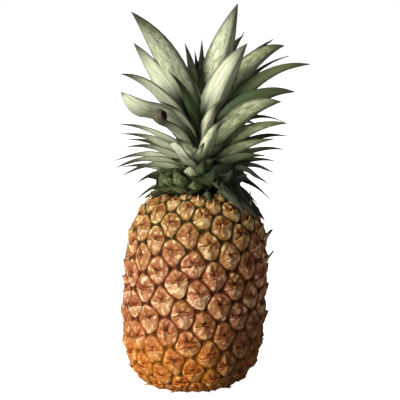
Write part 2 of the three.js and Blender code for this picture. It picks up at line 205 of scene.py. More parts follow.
def bell(away, width):
    """1 at no distance away, a third at one width and almost 0 at two."""
    return np.exp(-((away / width) ** 2))


def groove_distance(x, y):
    """How far a point is from the eye's nearest groove."""
    total = 0
    for (ax, ay), (bx, by) in zip(eye_corners, eye_corners[1:] + eye_corners[:1]):
        length = math.hypot(bx - ax, by - ay)
        inward = ((bx - ax) * (y - ay) - (by - ay) * (x - ax)) / length
        total = total + np.exp(-inward / CORNER_ROUNDING)
    return -CORNER_ROUNDING * np.log(total)


def corner_shade(x, y):
    """1 where three eyes meet and 0 a few millimetres away, for the painted shade in those corners."""
    return bell(np.min([np.hypot(x - cx, y - cy) for cx, cy in eye_corners], axis=0), CORNER_SHADE)


def scale_edge(x, number):
    """Where the free edge of the dry scale crosses the eye: tilted and bowed a little differently in each."""
    tilt = SCALE_EDGE["tilt"] + spread(number, 15, 0.13)
    bow = SCALE_EDGE["bow"] + spread(number, 16, 0.2)
    return SCALE_EDGE["up"] + spread(number, 9, 0.9) + tilt * x + bow * (np.abs(x) - 4)


print("from the middle of an eye to its groove:", round(float(groove_distance(0.0, 0.0)), 1), "mm")

# %% Creases and pit
CREASES = (16, 60, 120, 164)  # the directions from the pit of the creases between the sepals, in degrees
CREASE_STRAY = 14  # degrees to either side
CREASE_REACH = 9.5
CREASE_WIDTH = 1.1
PIT = {"depth": 1.6, "width": 1.4, "up": 1.0}  # above the middle of the eye
RING = {"radius": 5.2, "width": 0.9}  # round the pit the sepals' papery tips stand in a ring


def eye_creases(x, y, number, width=CREASE_WIDTH):
    """0 on the sepals and 1 in the creases between them, round the pit and above the scale's edge."""
    up = y - PIT["up"]
    reach = np.hypot(x, up)
    deepest = 0
    for k, degrees in enumerate(CREASES):
        ray = np.radians(degrees + spread(number, 70 + k, CREASE_STRAY))
        beside = np.abs(x * np.sin(ray) - up * np.cos(ray))
        ahead = x * np.cos(ray) + up * np.sin(ray) > 0
        crease = bell(beside, width) * ahead * np.exp(-((reach / CREASE_REACH) ** 4))
        deepest = np.maximum(deepest, crease * (0.3 + 0.7 * chance(number, 75 + k)))
    ring_radius = RING["radius"] + spread(number, 80, 1.0) + 0.8 * np.sin(3 * np.arctan2(up, x) + number)
    ring = bell(reach - ring_radius, width * RING["width"]) * (0.1 + 0.5 * chance(number, 81))
    above_edge = y - scale_edge(x, number)
    deepest = np.maximum(deepest, ring * (above_edge > 0))
    band = bell(above_edge, width + 0.2) * (np.abs(x) < CREASE_REACH)
    return np.maximum(deepest, (0.2 + 0.5 * chance(number, 82)) * band)


def eye_pit(x, y):
    return np.exp(-(x**2 + (y - PIT["up"]) ** 2) / PIT["width"] ** 2)


print("the middle of eye 0 is pit by", round(float(eye_pit(0.0, 0.0)), 2), "of 1")

# %% Wrinkles, and grooves that stray
WRINKLES = ((4.0, 1.3), (1.9, 0.6))  # size and height
STRAY = {"size": 9, "by": 1.9}
noise.seed_set(5)  # otherwise the shifts below would differ at each run


def noise_at(*axes):
    """Smooth noise from -1 to 1 at each of the places whose coordinates are given."""
    return np.array([noise.noise(Vector(place)) for place in zip(*axes)])


def wrinkles(x, y, number):
    """Lumps and folds that are different in every eye, in millimetres."""
    return sum(height * noise_at(x / size, y / size, number * 3.7) for size, height in WRINKLES)


def strayed(turn, climb):
    """Moves places on the skin a millimetre or so aside, so that no groove runs quite true."""
    places = on_skin(turn, climb, 0)
    shifts = np.array([noise.noise_vector(Vector(place) / STRAY["size"]) for place in places])
    return turn + shifts[:, 0] * STRAY["by"] / GIRTH_RADIUS, climb + shifts[:, 1] * STRAY["by"] / GIRTH_RADIUS


print("noise at two places:", noise_at((0.3, 0.7), (0.1, 0.1), (0.5, 0.5)).round(2))

# %% The height of an eye
WALL_WIDTH = 0.8
DOME = 0.65  # share of an eye's relief that rises to its middle, beside the wall round it
DOME_REACH = 8.5
CREASE_DEPTH = 1.5


def eye_height(x, y, number):
    """Height above the groove floor before it is carved, in millimetres at the girth."""
    inside = np.clip(groove_distance(x, y), 0, None)
    wall = 1 - np.exp(-inside / WALL_WIDTH)
    dome = np.clip(inside / DOME_REACH, 0, 1) ** 0.7
    relief = EYE_RELIEF * (1 + spread(number, 1, 0.15))
    return relief * ((1 - DOME) * wall + DOME * dome)


def carved(x, y, number):
    """How deep creases, pit and wrinkles cut into an eye. It is below 0 where something stands up."""
    return CREASE_DEPTH * eye_creases(x, y, number) + PIT["depth"] * eye_pit(x, y) + wrinkles(x, y, number)


print("height at the middle of eye 0:", round(float(eye_height(0.0, 0.0, 0)), 2), "mm")

# %% [markdown]
# ## The skin
#
# One flat tile of a few dozen faces is the pattern for every eye: a capped circle bent to the eye's outline,
# inset ring by ring and poked in the middle. Its copies are first stacked like cards, each one at the height
# of its own number, so after they are subdivided every point still knows its eye. Only then does the formula
# put each point on the fruit, where the outlines of neighbours meet and are welded into one skin.

# %% A tile for the eyes
AROUND = 18
RING_SHARES = (0.91, 0.78, 0.55, 0.27)


def new_mesh(bm, name):
    """Turns a bmesh into a mesh and lets it go."""
    mesh = bpy.data.meshes.new(name)
    bm.to_mesh(mesh)
    bm.free()
    return mesh


def eye_tile():
    tile = bmesh.new()
    bmesh.ops.create_circle(tile, segments=AROUND, radius=1, cap_ends=True)
    tile.faces.ensure_lookup_table()
    middle = tile.faces[0]
    for k, loop in enumerate(middle.loops):
        corner, part = divmod(k * 6 / AROUND, 1)
        a, b = eye_corners[int(corner)], eye_corners[(int(corner) + 1) % 6]
        loop.vert.co = (*(a + (b - a) * part), 0)
    share = 1
    for ring in RING_SHARES:
        bmesh.ops.inset_individual(tile, faces=[middle], thickness=0)
        bmesh.ops.scale(tile, verts=middle.verts[:], vec=Vector.Fill(3, ring / share))
        share = ring
    bmesh.ops.poke(tile, faces=[middle])
    return new_mesh(tile, "tile")


def stacked(pattern, numbers):
    """Copies of a flat pattern in one bmesh, each lifted by its own number."""
    stack = bmesh.new()
    for number in numbers:
        before = len(stack.verts)
        stack.from_mesh(pattern)
        stack.verts.ensure_lookup_table()
        bmesh.ops.translate(stack, verts=stack.verts[before:], vec=(0, 0, number))
    return stack


tile = eye_tile()
print("faces of the tile:", len(tile.polygons))

# %% What a mesh holds for its points and faces
def coordinates(mesh):
    flat = np.empty(len(mesh.vertices) * 3)
    mesh.vertices.foreach_get("co", flat)
    return flat.reshape(-1, 3)


def remember(mesh, domain="POINT", **values):
    """Keeps named values for each point or face of a mesh, for its material to read."""
    for name, amounts in values.items():
        attribute = mesh.attributes.new(name, "FLOAT", domain)
        attribute.data.foreach_set("value", np.asarray(amounts, np.float32))


def set_uv(mesh, points):
    """Gives each corner of a face the flat coordinates of its point."""
    corners = np.empty(len(mesh.loops), np.int32)
    mesh.loops.foreach_get("vertex_index", corners)
    mesh.uv_layers.new(name="UVMap").data.foreach_set("uv", points[corners].ravel())


def set_draw(mesh, number, draw):
    """Gives all the faces of an eye one chance value, by the stack number of their first point."""
    first = np.array([face.vertices[0] for face in mesh.polygons])
    remember(mesh, "FACE", draw=chance(number[first], draw))


print("the tile's corners are", coordinates(tile)[:3, :2].round(1).tolist(), "and so on")

# %% The skin, eye by eye
UV_UNIT = 10  # millimetres to a unit of the UV maps of skin and leaves
GROOVE_TINT = 1.2  # how far up its walls a groove's brown and its painted shade reach
FOLD_WIDTH = 2.4  # of the painted soft shade to both sides of a crease
MIDDLE_STRIP = 3.2  # half the width of the browner strip up from the pit


def place_on_fruit(mesh, x, y, number, out, lowest):
    """Moves the points of a stack to their places on the fruit, none of them lower than the table."""
    turn, climb = eye_centre(number)
    places = strayed(turn + x / GIRTH_RADIUS, climb + y / GIRTH_RADIUS)
    placed = on_skin(*places, out * eye_size(number))
    placed[:, 2] = np.maximum(placed[:, 2], lowest)
    mesh.vertices.foreach_set("co", (placed * MM).ravel())


def skin_mesh():
    stack = stacked(tile, eye_numbers)
    bmesh.ops.subdivide_edges(stack, edges=stack.edges[:], cuts=1, use_grid_fill=True)
    mesh = new_mesh(stack, "fruit_skin")
    x, y, number = coordinates(mesh).T
    number = np.round(number)
    inside = np.clip(groove_distance(x, y), 0, None)
    depth = carved(x, y, number)
    set_uv(mesh, np.stack([x, y], axis=-1) / UV_UNIT)
    set_draw(mesh, number, 7)
    remember(mesh, groove=np.exp(-inside / GROOVE_TINT), corner=corner_shade(x, y), pit=eye_pit(x, y))
    remember(mesh, middle=bell(x, MIDDLE_STRIP) * np.clip((y - 1) / 2, 0, 1), raised=-depth)
    # fold is how far the painted shade round the creases reaches
    remember(mesh, crease=eye_creases(x, y, number), fold=eye_creases(x, y, number, FOLD_WIDTH))
    out = eye_height(x, y, number) - depth * (1 - np.exp(-inside / WALL_WIDTH))
    place_on_fruit(mesh, x, y, number, out, 0)
    return mesh


skin = skin_mesh()
print("points of the skin before welding:", len(skin.vertices))

# %% [markdown]
# ## Closing the skin
#
# The welded skin is open where the stalk leaves it and where the crown sits in it. Each opening is closed the
# way one would in the editor: take the open edge loop, extrude it inwards, pull the new loop to a circle, and
# again, and fill the last one. The underside becomes the dish that a picked pineapple rests on.

# %% The ends of the skin
DISH_RINGS = ((17, 3.0), (STALK_RADIUS + GAP, DISH_Z), (STALK_RADIUS + GAP, STALK_HEIGHT + GAP))
SEAT_RINGS = ((25, 162), (STEM_RADIUS + GAP, SEAT_Z + 5), (STEM_RADIUS + GAP, SEAT_Z))


def close_end(bm, edges, rings):
    for radius, z in rings:
        made = bmesh.ops.extrude_edge_only(bm, edges=edges)["geom"]
        edges = [part for part in made if isinstance(part, bmesh.types.BMEdge)]
        for vert in {v for edge in edges for v in edge.verts}:
            bearing = math.atan2(vert.co.y, vert.co.x - LEAN * vert.co.z)
            vert.co = beside_axis(radius * math.cos(bearing), radius * math.sin(bearing), z)
    bmesh.ops.holes_fill(bm, edges=edges, sides=0)


def finished(bm, mesh):
    """Writes a bmesh back to its mesh with smooth faces that point outwards."""
    bmesh.ops.recalc_face_normals(bm, faces=bm.faces[:])
    for face in bm.faces:
        face.smooth = True
    bm.to_mesh(mesh)
    bm.free()
    return mesh


def closed_skin(mesh):
    bm = bmesh.new()
    bm.from_mesh(mesh)
    bmesh.ops.remove_doubles(bm, verts=bm.verts[:], dist=0.05 * MM)
    open_edges = [edge for edge in bm.edges if edge.is_boundary]
    is_low = [edge.verts[0].co.z < GIRTH_Z * MM for edge in open_edges]
    close_end(bm, [e for e, low in zip(open_edges, is_low) if low], DISH_RINGS)
    close_end(bm, [e for e, low in zip(open_edges, is_low) if not low], SEAT_RINGS)
    return finished(bm, mesh)


closed_skin(skin)
print("the skin has", len(skin.polygons), "faces and is closed:", not any(
    count != 2 for count in np.bincount([loop.edge_index for loop in skin.loops])))

# %% The skin as a piece
def new_piece(mesh, slot, *nodes):
    """A finished piece: it rides with the fruit's one body and stands for plainer solids."""
    piece = bpy.data.objects.new(mesh.name, mesh)
    bpy.context.scene.collection.objects.link(piece)
    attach(piece, "root")
    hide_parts(*nodes)
    return piece


fruit_skin = new_piece(skin, "fruit_skin", "fruit")
print("piece:", fruit_skin.name)

# %% [markdown]
# ## The dry scales
#
# Across the lower half of each eye lies a bract, the papery scale that once covered its flower. It is pale
# and flat, grows out of the lower groove, and ends in a small dry point over the pit. Painted on, it would
# vanish in side light, so each is a thin sheet of its own: a grid bent to the eye, thickened by Solidify.

# %% How long their points are
LEAFY_EYES = 26  # under the crown the points are leafy and stand up
RESTING_EYES = 12  # under the fruit they are worn short
WISPY_EYES = 34  # and round its foot they are long and dry
CURLY_EYES = (28, 36, 41)  # high on the right a few dark points have grown long and twice as wide


def point_length(number):
    short = 0.2 + 1.3 * chance(number, 2) ** 5
    leafy = 4.2 + spread(number, 2, 2)
    wispy = 0.6 + 4 * chance(number, 3) ** 3
    length = np.where(number > HIGHEST_EYE - LEAFY_EYES, leafy, short)
    length = np.where(number < LOWEST_EYE + WISPY_EYES, wispy, length)
    length = np.where(number < LOWEST_EYE + RESTING_EYES, 0.4, length)
    return np.where(np.isin(number, CURLY_EYES), 5.5, length)


lengths = point_length(np.array(eye_numbers))
print("points from", lengths.min().round(1), "to", lengths.max().round(1), "mm long")

# %% Scales over the lower half of each eye
SCALE_HALF_WIDTH = 11.7
SCALE_COLUMNS, SCALE_ROWS = 12, 5
SCALE_THICKNESS = 0.4
FOOT_SHARE = 0.93  # a scale grows out of the eye just above its lower groove
RAGGED = {"size": 2.4, "by": 1.5}
POINT_WIDTH = 0.13  # as a share of half the scale
KEEL_WIDTH = 0.2
FOLD = {"at": 0.16, "width": 0.07, "depth": 0.5}  # to both sides of the keel


def scale_foot(x):
    """The lower outline of an eye, from its left corner to its right one."""
    foot = sorted((tuple(corner) for corner in eye_corners[3:] + eye_corners[:1]))
    return np.interp(x, [c[0] for c in foot], [c[1] for c in foot])


def flat_scales():
    """A grid for each eye, stacked by their numbers."""
    pattern = bmesh.new()
    bmesh.ops.create_grid(pattern, x_segments=SCALE_COLUMNS, y_segments=SCALE_ROWS, size=1)
    for face in pattern.faces:
        face.smooth = True
    return new_mesh(stacked(new_mesh(pattern, "scale"), eye_numbers), "eye_scales")


def place_scales(mesh):
    across, v, number = coordinates(mesh).T
    number, v = np.round(number), (v + 1) / 2
    side = np.abs(across)
    x = SCALE_HALF_WIDTH * np.sign(across) * side**1.25
    ragged = RAGGED["by"] * noise_at(x / RAGGED["size"], number * 1.7, number)
    foot, edge = scale_foot(x) * FOOT_SHARE, scale_edge(x, number) + ragged
    y = foot + (edge - foot) * v
    curly, length = np.isin(number, CURLY_EYES), point_length(number)
    point = bell(side, POINT_WIDTH * (1 + curly)) * np.clip(v * 3 - 2, 0, 1) ** 2
    curl = 0.4 + 1.1 * chance(number, 17)
    keel = 0.5 * bell(side, KEEL_WIDTH) * v
    fold = FOLD["depth"] * bell(side - FOLD["at"], FOLD["width"]) * chance(number, 18)
    folds = 0.7 * wrinkles(x, y, number + 0.5) + fold
    set_uv(mesh, np.stack([across, v], axis=-1))
    set_draw(mesh, number, 8)
    remember(mesh, point=point * (1 + curly), raised=-folds)
    # a scale dips into the eye at its foot and its ends, and bellies out towards its free edge
    lift = -0.45 + (0.5 + 0.55 * curl * v) * np.sqrt(v) * (1 - side**4) + keel - folds * (1 - side**2)
    out = eye_height(x, y, number) + lift + length * point
    # its point leans up the fruit as well as out of it, and a little to one side
    x, y = x + point * spread(number, 10, 1.2), y + point * (2.2 + 0.35 * length)
    place_on_fruit(mesh, x, y, number, out, SCALE_THICKNESS)


scales = flat_scales()
place_scales(scales)
print("faces of the scales before their thickness:", len(scales.polygons))

# %% The scales' thickness
def with_settings(item, **settings):
    """The same item with its named settings made."""
    for name, value in settings.items():
        setattr(item, name, value)
    return item


eye_scales = new_piece(scales, "fruit_skin", "fruit")
solidify = eye_scales.modifiers.new("thickness", "SOLIDIFY")
with_settings(solidify, thickness=SCALE_THICKNESS * MM, offset=-1)
print("eye_scales:", SCALE_THICKNESS, "mm thick")

# %% [markdown]
# ## The crown's leaves
#
# Each leaf is a long stiff blade, folded into a channel along its midrib, that leaves the stem steeply and
# bows outwards. A curve with a bevel would give a round rod, so a grid is bent instead: its rows follow an
# arch from root to tip and its columns open across it. A leaf is one line of numbers, in millimetres and
# degrees.

# %% Leaves seen from the front
# x, y and z are those of the tip, root is a height above the seat, and angle is how steeply the blade leaves
# the stem. facing is the way that its underside faces, in degrees from the front, and straight is how far it
# keeps to its angle, as a share of its reach. silver is how much is left on its underside; below 0 the leaf
# is painted dark, as painted shade for one that stands in the shade of others. curl is how far its tip curls
# up, and channel how far its margins stand above the midrib for its width.
Leaf = namedtuple("Leaf", "x y z root angle width facing straight silver curl channel", defaults=(0, 0.5))
FRONT_LEAVES = [
    (-47, -30, 309, 44, 70, 24, -18, 0.62, 0.5, 0, 0.4),
    (-46, -6, 284, 40, 60, 24, -42, 0.68, 0.85, 0, 0.25),
    (-55, -36, 260, 36, 62, 20, -46, 0.72, 1.0, 0, 0.2),
    (-58, -46, 225, 32, 62, 22, -36, 0.74, 1.6, 70, 0.15),
    (-17, -42, 262, 34, 80, 12, 30, 0.6, -1.2, 0, 0.3),
    (-23, -48, 238, 30, 72, 13, -40, 0.66, 1.2, 0, 0.2),
    (-49, -66, 222, 25, 70, 10, -34, 0.55, 1.3, 340, 0.3),
    (-57, -14, 219, 24, 54, 13, -60, 0.62, 0.9, 0, 0.35),
    (-56, -26, 212, 21, 50, 12, -50, 0.62, 0.9, 0, 0.35),
    (-51, -6, 206, 18, 54, 11, -80, 0.66, -0.1),
    (-51, -34, 202, 17, 50, 12, -45, 0.62, 1.0, 0, 0.35),
    (-62, -8, 189, 14, 50, 12, -70, 0.64, 0.8, 0, 0.4),
    (-61, -24, 184, 13, 48, 12, -55, 0.64, 0.8, 0, 0.35),
    (-55, -20, 185, 12, 34, 8, -60, 0.6, 0.4),
    (-55, -36, 179, 12, 44, 11, -45, 0.62, 0.9, 0, 0.35),
    (-43, -44, 174, 10, 40, 10, -35, 0.6, 0.4),
    (-43, -20, 159, 10, 34, 11, -70, 0.6, 0.1),
    (-32, -40, 160, 8, 46, 19, -42, 0.62, -0.8),
    (-14, -58, 198, 17, 46, 22, -38, 0.64, 1.1, 45, 0.1),
    (-2, -58, 176, 10, 44, 13, -12, 0.6, 0.55, 60, 0.1),
    (-24, -36, 183, 6, 8, 18, -30, 0.85, 0.3, 0, 0.3),
    (-12, -42, 187, 6, 8, 17, -15, 0.85, 0.35, 0, 0.3),
    (3, -44, 177, 5, 8, 15, 0, 0.85, 0.15, 0, 0.35),
    (-16, -46, 174, 5, 6, 14, -25, 0.85, 0.45, 0, 0.3),
    (-28, -42, 172, 5, 6, 14, -35, 0.85, 0.3, 0, 0.3),
    (-4, -48, 169, 5, 6, 13, -10, 0.85, 0.2, 0, 0.3),
    (10, -40, 193, 8, 20, 18, 5, 0.8, -0.5, 0, 0.4),
    (19, -42, 186, 6, 10, 20, 12, 0.85, -0.7, 0, 0.4),
    (33, -36, 184, 6, 10, 20, 30, 0.85, -0.9, 0, 0.4),
    (45, -24, 180, 6, 10, 18, 50, 0.85, -0.9, 0, 0.4),
    (-36, -24, 177, 6, 24, 18, -55, 0.85, -0.7, 0, 0.35),
    (28, -48, 242, 30, 76, 11, -12, 0.62, 0.9),
    (28, -66, 225, 16, 62, 12, -15, 0.62, 0.6),
    (-5, 10, 284, 50, 84, 14, -5, 0.6, 0.2),
    (3, 14, 278, 52, 86, 11, 0, 0.6, -0.3),
    (9, 16, 287, 54, 87, 12, 6, 0.6, 0.1),
    (38, 0, 316, 46, 76, 25, 14, 0.62, 0.5),
    (44, 30, 293, 48, 72, 8, 130, 0.55, -0.5),
    (45, -28, 284, 38, 72, 23, 12, 0.62, 1.2),
    (68, 26, 287, 44, 68, 15, 40, 0.65, -0.5),
    (76, 2, 282, 40, 66, 22, 28, 0.78, 0.15, 0, 0.4),
    (81, 32, 273, 38, 66, 9, 100, 0.7, -0.6),
    (97, -2, 267, 38, 60, 17, 36, 0.72, -0.25),
    (73, 30, 246, 34, 50, 13, 80, 0.8, -0.7),
    (84, -14, 245, 27, 62, 22, 50, 0.7, -0.6),
    (72, -34, 238, 24, 57, 22, 24, 0.7, 0.18, 0, 0.4),
    (75, -20, 221, 24, 66, 9, 70, 0.82, -0.4),
    (78, -16, 220, 20, 52, 17, 40, 0.64, 0.08),
    (79, 10, 208, 18, 50, 12, 85, 0.66, -0.5),
    (67, -26, 208, 16, 46, 15, 50, 0.6, 0.1),
    (76, -6, 198, 14, 46, 12, 72, 0.64, -0.1),
    (59, -32, 195, 13, 42, 14, 50, 0.62, -0.4),
    (68, -10, 189, 12, 42, 12, 72, 0.64, -0.4),
    (68, -14, 179, 12, 44, 10, 68, 0.66, 0.0),
    (63, -24, 171, 11, 50, 11, 60, 0.66, -0.5),
    (64, -14, 158, 10, 52, 11, 70, 0.66, -0.3),
    (60, -17, 141, 10, 58, 27, 62, 0.6, -0.8),
    (54, -34, 143, 9, 54, 21, 48, 0.6, -0.9, 0, 0.4),
    (44, -46, 147, 9, 52, 19, 38, 0.6, -0.5, 0, 0.4),
    (27, -56, 163, 8, 45, 10, 25, 0.6, 0.1),
    (38, -52, 154, 8, 46, 9, 32, 0.62, 0.2),
]
BACK_LEAVES, SKIRT_LEAVES, SHORT_LEAVES, HEART_LEAVES = 22, 21, 18, 6
print(len(FRONT_LEAVES), "leaves placed one by one")

# %% [markdown]
# ## The leaves placed by rule
#
# The rest of the crown is the spiral that grows on every pineapple: leaves 137.5 degrees apart, lowest and
# flattest at the seat. Behind they fan out, a skirt lies over the shoulder, short broad ones hide the stem,
# and the youngest stand upright at the heart.

# %% Leaves placed by rule
SPIRAL = 137.5  # degrees from one leaf to the next


def spiral_leaf(bearing, root, reach, rise, angle, width, silver=0.3):
    """A leaf that bows away from the stem at a bearing: its tip lies reach out and rise up from its root."""
    x = LEAN * (SEAT_Z + root) + reach * math.cos(math.radians(bearing))
    y = reach * math.sin(math.radians(bearing))
    return Leaf(x, y, SEAT_Z + root + rise, root, angle, width, None, 0.6, silver)


def back_leaf(n):
    level = (n + 0.5) / BACK_LEAVES
    bearing = 38 + ((n * 0.382) % 1) * 84 + spread(n, 11, 6)
    reach = 66 + spread(n, 12, 8) + 12 * math.sin(level * math.pi) - 28 * level**3
    rise, width = -14 + 98 * level + spread(n, 13, 8), 9 + 11 * level + spread(n, 14, 1.5)
    return spiral_leaf(bearing, 5 + 46 * level, reach, rise, 30 + 48 * level, width)


def skirt_leaf(n):
    bearing, root = n * SPIRAL + spread(n, 21, 12), 7 + 3 * chance(n, 22)
    reach, rise, angle = 42 + spread(n, 23, 5), -9 + spread(n, 24, 4), 28 + spread(n, 25, 5)
    # a silver below 0 paints the skirt dark, as painted shade under the crown
    return spiral_leaf(bearing, root, reach, rise, angle, 15 + spread(n, 26, 2), -0.4)


def short_leaf(n):
    level = (n + 0.5) / SHORT_LEAVES
    bearing, reach = 60 + n * SPIRAL + spread(n, 41, 8), 29 - 3 * level + spread(n, 43, 3)
    rise, angle = 15 + 20 * level + spread(n, 44, 5), 60 + 12 * level + spread(n, 45, 6)
    width, silver = 15 + spread(n, 46, 2), chance(n, 47) * 0.5
    return spiral_leaf(bearing, 7 + 12 * level, reach, rise, angle, width, silver)


def heart_leaf(n):
    reach, rise = 10 + 12 * chance(n, 31), 38 + 26 * chance(n, 32)
    return spiral_leaf(40 + n * SPIRAL, 50 + n, reach, rise, 82, 9 + 3 * chance(n, 33))


leaves = [Leaf(*numbers) for numbers in FRONT_LEAVES]
for rule, count in ((back_leaf, BACK_LEAVES), (skirt_leaf, SKIRT_LEAVES), (short_leaf, SHORT_LEAVES),
                    (heart_leaf, HEART_LEAVES)):
    leaves += [rule(n) for n in range(count)]
print(len(leaves), "leaves in all")

# %% [markdown]
# ## Bending a blade
#
# A row of the grid sits at each step along the arch. Its middle point lies on the midrib and the others rise
# towards the margins, more on some leaves than on others, so the row is a shallow V. A curled tip leaves the
# arch for a circle. Real margins carry small teeth, and a few points pushed out by half a millimetre are
# enough to show them against the light.

# %% How wide and how dry a blade is
ROOT_WIDTH = 0.7  # as a share of the blade's widest place
WIDEST = 0.35  # and where that is, as a share of its length
DRY_CURL = 180  # a tip that winds up this far has dried brown, and one that only bends up has lost its point


def blade_share(t, width, curl):
    """The blade's width along its length, as a share of its widest. Narrow blades end in a long point."""
    if t < WIDEST:
        return ROOT_WIDTH + 0.86 * t
    left = (t - WIDEST) / (1 - WIDEST)
    broad = 1 if curl else min(max((width - 12) / 10, 0), 1)
    blunt = 5 if curl else 1.9
    return broad * (1 - left**blunt) + (1 - broad) * (1 - left) ** 1.15


def dryness(t, width, curl):
    """How near a place on the blade is to the part that dries first. Narrow blades dry furthest back."""
    if 0 < curl < DRY_CURL:  # it stays green but for its rim
        return min(t, 0.62) + max(t - 0.93, 0) * 6
    return t * (1.36 if curl else 1 + 0.25 * min(max((15 - width) / 4, 0), 1))


for width in (24, 10):
    print("a blade", width, "mm wide keeps", round(blade_share(0.9, width, 0), 2), "of that near its tip")

# %% The arch of a blade
FACING = 2.6  # how much a blade turns its underside outward rather than down
ROOT_DEPTH = 0.35  # how far from the stem's axis a blade starts, as a share of the stem's radius
CURL_FROM = 0.66  # a curled tip winds up beyond this share of the blade


def stem_radius(height):
    heights, radii = (0, STEM_NECK[1], STEM_TIP[1]), (STEM_RADIUS, STEM_NECK[0], STEM_TIP[0])
    return float(np.interp(height, heights, radii))


def arch_of(leaf):
    """The three points that steer a leaf's arch, and the way that its underside faces."""
    tip = Vector(leaf[:3])
    start = Vector((LEAN * (SEAT_Z + leaf.root), 0, SEAT_Z + leaf.root))
    heading = Vector((tip.x - start.x, tip.y - start.y, 0)).normalized()
    outward = heading
    if leaf.facing is not None:
        outward = Vector((math.sin(math.radians(leaf.facing)), -math.cos(math.radians(leaf.facing)), 0))
    start += outward * stem_radius(leaf.root) * ROOT_DEPTH
    reach = (tip - start).length * leaf.straight
    angle = math.radians(leaf.angle)
    knee = start + heading * math.cos(angle) * reach + Vector((0, 0, math.sin(angle) * reach))
    return start, knee, tip, outward * FACING - Vector((0, 0, 1))


def on_midrib(arch, curl, t):
    """The middle of a blade at a share of its length, and the ways it opens and faces up there."""
    start, knee, tip, underside = arch
    wound = max(t - CURL_FROM, 0) / (1 - CURL_FROM) if curl else 0
    t = min(t, CURL_FROM) if curl else t
    middle = start * (1 - t) ** 2 + knee * 2 * t * (1 - t) + tip * t * t
    along = ((knee - start) * (1 - t) + (tip - knee) * t).normalized()
    side = along.cross(underside).normalized()
    face = along.cross(side)
    if wound:
        turn, radius = math.radians(curl) * wound, (tip - middle).length / math.radians(curl)
        middle = middle + (along * math.sin(turn) + face * (1 - math.cos(turn))) * radius
        face = face * math.cos(turn) - along * math.sin(turn)
    return middle, side, face


longest = max((Vector(leaf[:3]) - Vector((9, 0, SEAT_Z + leaf.root))).length for leaf in leaves)
print("longest leaf from root to tip in mm:", round(longest))

# %% One blade
BLADE_COLUMNS, BLADE_ROWS = 6, 30
TOOTH = 0.5
WAVE = 0.5


def bend_blade(points, leaf, number, layers):
    """Bends a flat grid into a leaf, and returns the leaf's length."""
    arch = arch_of(leaf)
    for point in points:
        across, t = point.co.x, (point.co.y + 1) / 2
        middle, side, face = on_midrib(arch, leaf.curl, t)
        half = leaf.width * blade_share(t, leaf.width, leaf.curl) / 2
        rise = half * 2 * leaf.channel * abs(across) ** 1.1
        tooth = TOOTH * (abs(across) > 0.99 and round(t * BLADE_ROWS) % 2) * (1 - t)
        wave = WAVE * math.sin(t * 9 + number * 2.4 + across * 1.5) * abs(across) * (t * (1 - t) * 4)
        point[layers["along"]] = dryness(t, leaf.width, leaf.curl)
        point[layers["edge"]] = abs(across)
        point.co = (middle + side * across * (half + tooth) + face * (rise + wave)) * MM
    start, knee, tip = arch[:3]
    return (knee - start).length + (tip - knee).length


print("points of a blade:", (BLADE_COLUMNS + 1) * (BLADE_ROWS + 1))

# %% All the blades
def crown_mesh():
    crown = bmesh.new()
    uv = crown.loops.layers.uv.new("UVMap")
    layers = {name: crown.verts.layers.float.new(name) for name in ("along", "edge")}
    draw, silver = (crown.faces.layers.float.new(name) for name in ("draw", "silver"))
    for number, leaf in enumerate(leaves):
        first_face = len(crown.faces)
        made = bmesh.ops.create_grid(crown, x_segments=BLADE_COLUMNS, y_segments=BLADE_ROWS, size=1)
        flat = {point: point.co.copy() for point in made["verts"]}
        length = bend_blade(made["verts"], leaf, number, layers)
        crown.faces.ensure_lookup_table()
        for face in crown.faces[first_face:]:
            face.smooth = True
            face[draw] = chance(number, 51)
            face[silver] = leaf.silver
            for loop in face.loops:
                across, t = flat[loop.vert].xy / 2
                loop[uv].uv = (across * leaf.width / UV_UNIT, t * length / UV_UNIT)
    bmesh.ops.remove_doubles(crown, verts=crown.verts[:], dist=0.02 * MM)
    return new_mesh(crown, "crown_leaves")


crown_leaves = new_piece(crown_mesh(), "crown_leaf", "crown")
print("crown_leaves:", len(crown_leaves.data.polygons), "faces before their thickness")

# %% [markdown]
# ## Thickness for the blades
#
# Solidify turns the sheets into bodies. A vertex group thins them towards margin and tip, and its material
# offset gives the upper side of every leaf the second material, because the two sides of a pineapple leaf
# don't look alike: silvery below, deep green above.

# %% Blade thickness
BLADE_THICKNESS = 2.2
THINNER = {"tip": 0.6, "margin": 0.72}  # the share that is lost there


def thicken_leaves(piece):
    kept = piece.data.attributes
    along, edge = (np.array([item.value for item in kept[name].data]) for name in ("along", "edge"))
    group = piece.vertex_groups.new(name="thick")
    for index, weight in enumerate((1 - THINNER["tip"] * along) * (1 - THINNER["margin"] * edge**1.5)):
        group.add([index], float(weight), "REPLACE")
    solidify = piece.modifiers.new("thickness", "SOLIDIFY")
    with_settings(solidify, thickness=BLADE_THICKNESS * MM, offset=0, vertex_group=group.name,
                  thickness_vertex_group=0.1, material_offset=1, material_offset_rim=0)


thicken_leaves(crown_leaves)
print("leaf thickness from", BLADE_THICKNESS, "mm at the root")

# %% [markdown]
# ## The stem of the crown
#
# Between the leaf bases a little of the stem can be seen from above. Its outline is spun round the leaning
# axis. A stack of cylinders would do as well, but one spun profile has no hidden faces and needs no joining.

# %% The stem
def spun(name, outline, segments):
    """A closed turned piece from (radius, z) pairs in millimetres, sheared on to the leaning axis."""
    bm = bmesh.new()
    line = [bm.verts.new((radius, 0, z)) for radius, z in outline]
    edges = [bm.edges.new(pair) for pair in zip(line, line[1:])]
    bmesh.ops.spin(bm, geom=line + edges, cent=(0, 0, 0), axis=(0, 0, 1), angle=math.tau, steps=segments,
                   use_merge=True)
    bmesh.ops.remove_doubles(bm, verts=bm.verts[:], dist=0.01)
    for vert in bm.verts:
        vert.co = beside_axis(*vert.co)
    return finished(bm, bpy.data.meshes.new(name))


